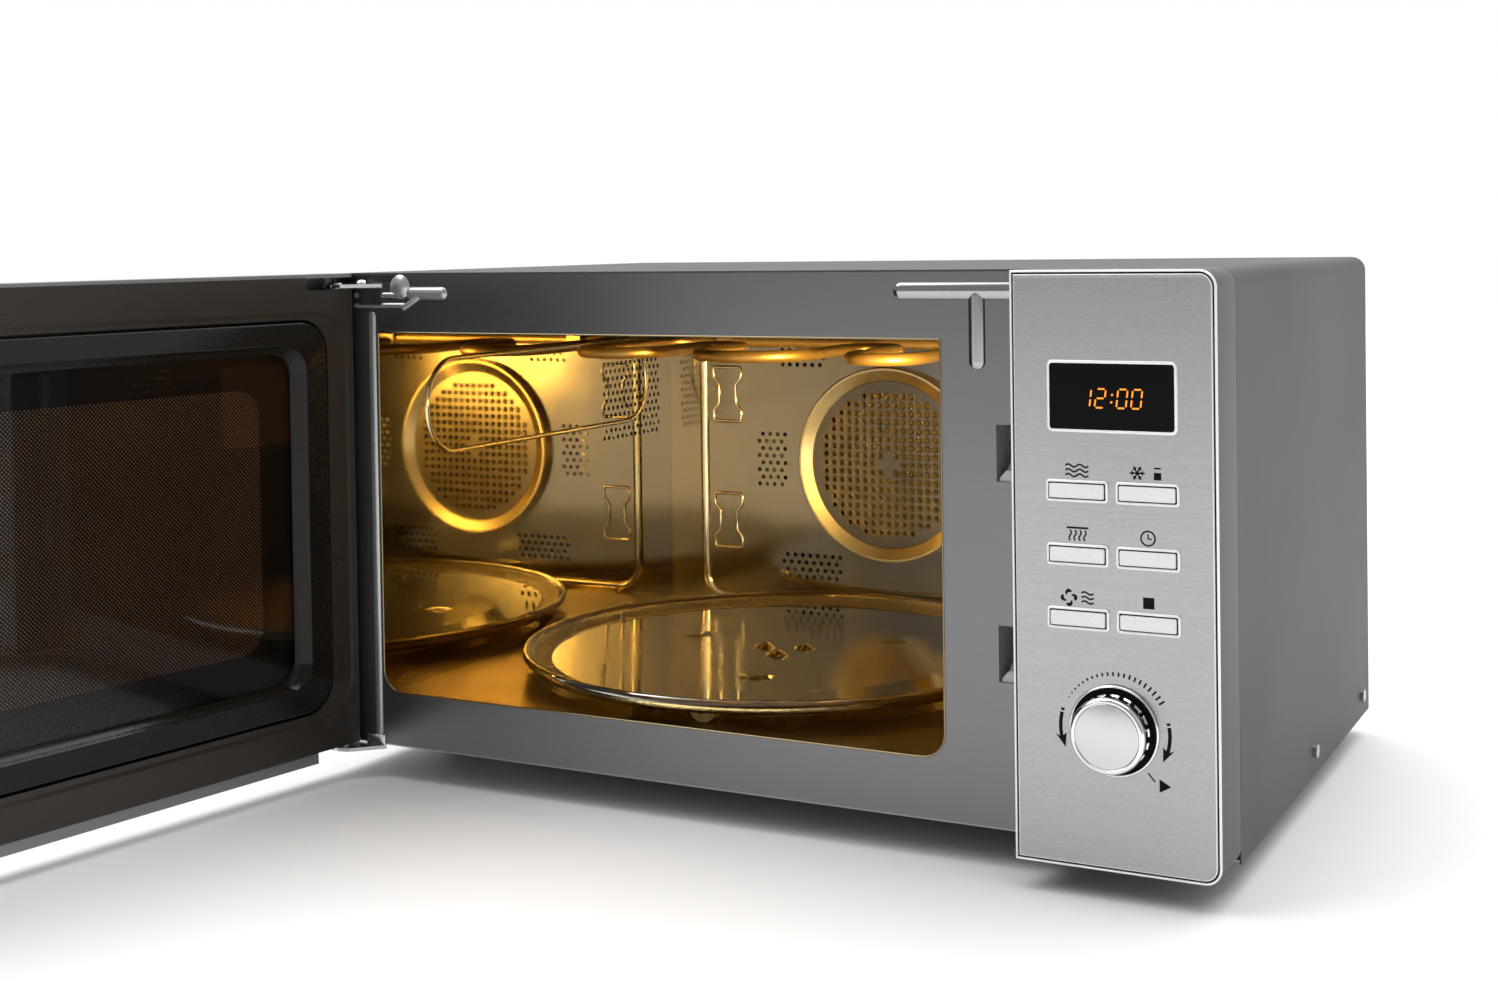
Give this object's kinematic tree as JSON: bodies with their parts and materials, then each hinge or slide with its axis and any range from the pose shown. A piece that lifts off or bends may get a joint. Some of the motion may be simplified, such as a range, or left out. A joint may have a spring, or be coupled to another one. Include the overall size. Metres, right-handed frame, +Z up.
{
  "type": "convection microwave oven",
  "caption": "Countertop microwave oven with a side-hinged door, glass turntable, grill element, hot-air fan, push buttons and a push-and-turn knob.",
  "frame": {"origin": "on the surface the feet stand on, at the middle of the cabinet's width, in the front plate's front plane", "axes": "+X to the right as seen from the front, +Y to the back, +Z up; the door is drawn open"},
  "size_m": [0.6225, 0.7985, 0.29],
  "materials": {
    "cover_paint": "satin",
    "screw_steel": "polished",
    "zinc_sheet": "satin",
    "foot_rubber": "matte",
    "plate_steel": "brushed",
    "cavity_steel": "bright annealed",
    "element_metal": "oxidised",
    "clip_steel": "satin",
    "mica": "matte",
    "magnetron_metal": "satin",
    "transformer_iron": "varnished",
    "capacitor_can": "satin",
    "motor_steel": "satin",
    "dark_plastic": "satin",
    "light_plastic": "matte",
    "panel_moulding": "metallic satin",
    "fascia_steel": "brushed",
    "display_black": "gloss",
    "bright_trim": "polished",
    "board_green": "matte",
    "button_cap": "satin",
    "shaft_steel": "satin",
    "white_plastic": "matte",
    "tray_glass": "clear, moulded texture",
    "fan_metal": "satin",
    "door_moulding": "satin",
    "door_glass": "smoked",
    "door_steel": "satin enamel"
  },
  "bodies": {
    "cabinet": {"outer_cover": "cover_paint", "cabinet_screws": "screw_steel", "base_plate": "zinc_sheet", "feet": "foot_rubber", "front_plate": "plate_steel", "rear_panel": "zinc_sheet", "rear_fan_cover": "zinc_sheet", "fan_housing": "zinc_sheet", "cavity_left_wall": "cavity_steel", "cavity_right_wall": "cavity_steel", "cavity_ceiling": "cavity_steel", "cavity_floor": "cavity_steel", "cavity_back_wall": "cavity_steel", "fan_guard": "cavity_steel", "grill_element": "element_metal", "grill_clips": "clip_steel", "waveguide_cover": "mica", "waveguide": "zinc_sheet", "magnetron": "magnetron_metal", "hv_transformer": "transformer_iron", "hv_capacitor": "capacitor_can", "cavity_lamp": "magnetron_metal", "turntable_motor": "motor_steel", "convection_motor": "motor_steel", "convection_heater": "element_metal", "cooling_fan_motor": "dark_plastic", "latch_bracket": "light_plastic", "interlock_switches": "dark_plastic", "upper_hinge": "zinc_sheet", "lower_hinge": "zinc_sheet", "panel_bezel": "panel_moulding", "panel_fascia": "fascia_steel", "display_window": "display_black", "button_frames": "bright_trim", "knob_ring": "bright_trim", "control_board": "board_green", "cord_gland": "foot_rubber"},
    "button_1": {"button_1": "button_cap"},
    "button_2": {"button_2": "button_cap"},
    "button_3": {"button_3": "button_cap"},
    "button_4": {"button_4": "button_cap"},
    "button_5": {"button_5": "button_cap"},
    "button_6": {"button_6": "button_cap"},
    "knob_shaft": {"knob_shaft": "shaft_steel"},
    "knob": {"knob": "bright_trim"},
    "turntable": {"turntable_coupler": "white_plastic", "turntable_glass": "tray_glass"},
    "roller_ring": {"roller_ring": "white_plastic"},
    "roller_1": {"roller_1": "white_plastic"},
    "roller_2": {"roller_2": "white_plastic"},
    "roller_3": {"roller_3": "white_plastic"},
    "convection_fan": {"convection_fan": "fan_metal"},
    "cooling_fan": {"cooling_fan": "dark_plastic"},
    "door": {"door_outer_frame": "door_moulding", "door_outer_glass": "door_glass", "door_inner_frame": "door_steel", "choke_cover": "dark_plastic", "door_inner_glass": "door_glass", "door_handle": "bright_trim"},
    "latch_hooks": {"latch_hooks": "light_plastic"}
  },
  "joints": [
    {"name": "door_hinge", "type": "hinge", "parent": "cabinet", "child": "door", "pos_m": [-0.2485, -0.0092, 0.152], "axis": [0, 0, 1], "range_deg": [-4, 98.6]},
    {"name": "latch_slide", "type": "slide", "parent": "door", "child": "latch_hooks", "axis": [0, 0, 1], "range_m": [0, 0.004], "stiffness_N_per_m": 400},
    {"name": "button_1_press", "type": "slide", "parent": "cabinet", "child": "button_1", "axis": [0, 1, 0], "range_m": [0, 0.001], "stiffness_N_per_m": 1500},
    {"name": "button_2_press", "type": "slide", "parent": "cabinet", "child": "button_2", "axis": [0, 1, 0], "range_m": [0, 0.001], "stiffness_N_per_m": 1500},
    {"name": "button_3_press", "type": "slide", "parent": "cabinet", "child": "button_3", "axis": [0, 1, 0], "range_m": [0, 0.001], "stiffness_N_per_m": 1500},
    {"name": "button_4_press", "type": "slide", "parent": "cabinet", "child": "button_4", "axis": [0, 1, 0], "range_m": [0, 0.001], "stiffness_N_per_m": 1500},
    {"name": "button_5_press", "type": "slide", "parent": "cabinet", "child": "button_5", "axis": [0, 1, 0], "range_m": [0, 0.001], "stiffness_N_per_m": 1500},
    {"name": "button_6_press", "type": "slide", "parent": "cabinet", "child": "button_6", "axis": [0, 1, 0], "range_m": [0, 0.001], "stiffness_N_per_m": 1500},
    {"name": "knob_turn", "type": "hinge", "parent": "cabinet", "child": "knob_shaft", "pos_m": [0.2115, -0.0228, 0.0795], "axis": [0, 1, 0], "continuous": true},
    {"name": "knob_press", "type": "slide", "parent": "knob_shaft", "child": "knob", "axis": [0, 1, 0], "range_m": [0, 0.001], "stiffness_N_per_m": 800},
    {"name": "turntable_spin", "type": "hinge", "parent": "cabinet", "child": "turntable", "pos_m": [-0.0535, 0.16545, 0.0516], "axis": [0, 0, 1], "continuous": true},
    {"name": "roller_ring_spin", "type": "hinge", "parent": "cabinet", "child": "roller_ring", "pos_m": [-0.0535, 0.16545, 0.0433], "axis": [0, 0, 1], "continuous": true},
    {"name": "roller_1_spin", "type": "hinge", "parent": "roller_ring", "child": "roller_1", "pos_m": [-0.0535, 0.06905, 0.0433], "axis": [0, -1, 0], "continuous": true},
    {"name": "roller_2_spin", "type": "hinge", "parent": "roller_ring", "child": "roller_2", "pos_m": [0.02999, 0.21365, 0.0433], "axis": [0.866, 0.5, 0], "continuous": true},
    {"name": "roller_3_spin", "type": "hinge", "parent": "roller_ring", "child": "roller_3", "pos_m": [-0.13698, 0.21365, 0.0433], "axis": [-0.866, 0.5, 0], "continuous": true},
    {"name": "convection_fan_spin", "type": "hinge", "parent": "cabinet", "child": "convection_fan", "pos_m": [-0.0535, 0.34, 0.151], "axis": [0, 1, 0], "continuous": true},
    {"name": "cooling_fan_spin", "type": "hinge", "parent": "cabinet", "child": "cooling_fan", "pos_m": [0.1899, 0.318, 0.21], "axis": [0, 1, 0], "continuous": true}
  ],
  "couplings": [
    {"joint": "roller_ring_spin", "follows": "turntable_spin", "ratio": 0.5},
    {"joint": "roller_1_spin", "follows": "turntable_spin", "ratio": -6.025},
    {"joint": "roller_2_spin", "follows": "turntable_spin", "ratio": -6.025},
    {"joint": "roller_3_spin", "follows": "turntable_spin", "ratio": -6.025}
  ]
}
